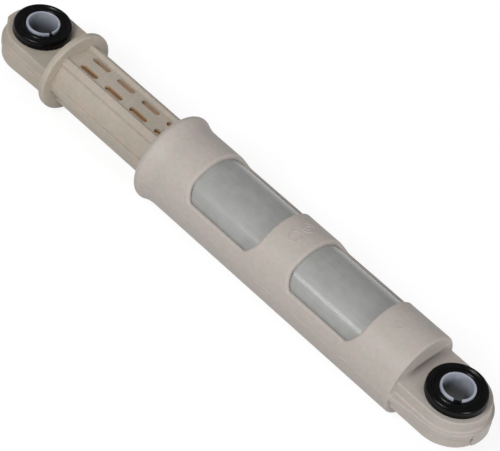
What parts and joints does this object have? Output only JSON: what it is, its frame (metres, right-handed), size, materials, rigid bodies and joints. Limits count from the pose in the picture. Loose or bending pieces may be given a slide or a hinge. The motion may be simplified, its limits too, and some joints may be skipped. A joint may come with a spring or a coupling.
{
  "type": "washing machine shock absorber",
  "caption": "Washing machine friction damper: a rod with a stop collar slides and turns in a windowed plastic housing with a steel liner, with a rubber-bushed eye at each end.",
  "frame": {"origin": "centre of the housing eye's pin bore, half way along it", "axes": "+X along the damper's axis from the housing eye to the plunger eye, +Z along the pin bores, towards the sleeve rims with a notch"},
  "size_m": [0.2872, 0.0426, 0.0426],
  "materials": {
    "housing_plastic": "smooth moulded, satin, warm greyish beige",
    "plunger_plastic": "smooth moulded, satin, slightly yellower beige",
    "tube_steel": "drawn, galvanised, satin",
    "bush_rubber": "moulded black rubber, slightly glossy",
    "sleeve_plastic": "natural white plastic, slightly bluish, smooth",
    "guide_plastic": "natural plastic, smooth",
    "lining_foam": "fine foam soaked with amber grease"
  },
  "bodies": {
    "housing": {"housing": "housing_plastic", "steel_tube": "tube_steel", "guide_bush": "guide_plastic", "housing_bush": "bush_rubber", "housing_sleeve": "sleeve_plastic"},
    "lining": {"friction_lining": "lining_foam"},
    "plunger": {"plunger": "plunger_plastic", "plunger_bush": "bush_rubber", "plunger_sleeve": "sleeve_plastic"}
  },
  "joints": [
    {"name": "stroke", "type": "slide", "parent": "housing", "child": "lining", "axis": [1, 0, 0], "range_m": [-0.0598, 0.008]},
    {"name": "swivel", "type": "hinge", "parent": "lining", "child": "plunger", "pos_m": [0.12, 0, 0], "axis": [1, 0, 0], "continuous": true}
  ]
}
